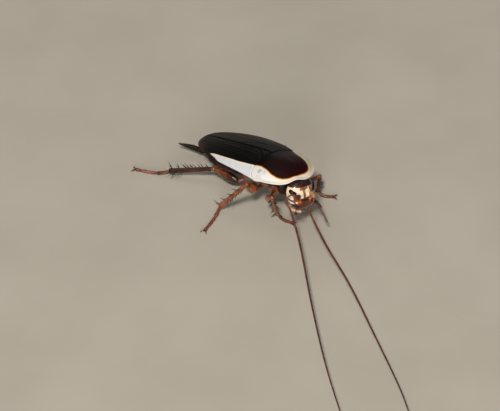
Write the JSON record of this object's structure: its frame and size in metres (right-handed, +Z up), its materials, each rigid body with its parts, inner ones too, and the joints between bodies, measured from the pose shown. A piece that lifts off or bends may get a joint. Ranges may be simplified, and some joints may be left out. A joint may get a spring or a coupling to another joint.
{
  "type": "common methana cockroach, still life-size model",
  "caption": "Still life-size bush cockroach with a pale-edged shield, folded dark fore wings, spiny legs and long feelers, resting on its feet.",
  "frame": {"origin": "on the floor under the middle of the whole model's box, feelers included", "axes": "-Y is the way the animal faces, +X its left side, +Z up from the floor"},
  "size_m": [0.0324, 0.0738, 0.01],
  "materials": {
    "dark_cuticle": "satin",
    "pale_border": "satin",
    "amber_leg": "gloss",
    "brown_shank": "satin",
    "red_feeler": "satin",
    "cream_face": "satin",
    "eye_black": "gloss"
  },
  "bodies": {
    "root": {"abdomen": "dark_cuticle", "antenna_left_1": "red_feeler", "antenna_left_2": "red_feeler", "antenna_left_3": "red_feeler", "antenna_left_4": "red_feeler", "antenna_right_1": "red_feeler", "antenna_right_2": "red_feeler", "antenna_right_3": "red_feeler", "antenna_right_4": "red_feeler", "cercus_left": "brown_shank", "cercus_right": "brown_shank", "eye_left": "eye_black", "eye_right": "eye_black", "head": "cream_face", "labial_palp_left": "amber_leg", "labial_palp_right": "amber_leg", "leg_fore_left_coxa": "amber_leg", "leg_fore_left_femur": "amber_leg", "leg_fore_left_tarsus": "red_feeler", "leg_fore_left_tibia": "brown_shank", "leg_fore_right_coxa": "amber_leg", "leg_fore_right_femur": "amber_leg", "leg_fore_right_tarsus": "red_feeler", "leg_fore_right_tibia": "brown_shank", "leg_hind_left_coxa": "amber_leg", "leg_hind_left_femur": "amber_leg", "leg_hind_left_tarsus": "red_feeler", "leg_hind_left_tibia": "brown_shank", "leg_hind_right_coxa": "amber_leg", "leg_hind_right_femur": "amber_leg", "leg_hind_right_tarsus": "red_feeler", "leg_hind_right_tibia": "brown_shank", "leg_mid_left_coxa": "amber_leg", "leg_mid_left_femur": "amber_leg", "leg_mid_left_tarsus": "red_feeler", "leg_mid_left_tibia": "brown_shank", "leg_mid_right_coxa": "amber_leg", "leg_mid_right_femur": "amber_leg", "leg_mid_right_tarsus": "red_feeler", "leg_mid_right_tibia": "brown_shank", "maxillary_palp_left": "amber_leg", "maxillary_palp_right": "amber_leg", "neck": "dark_cuticle", "pronotum": "pale_border", "tegmen_left": "dark_cuticle", "tegmen_right": "dark_cuticle", "thorax": "dark_cuticle"}
  },
  "joints": []
}
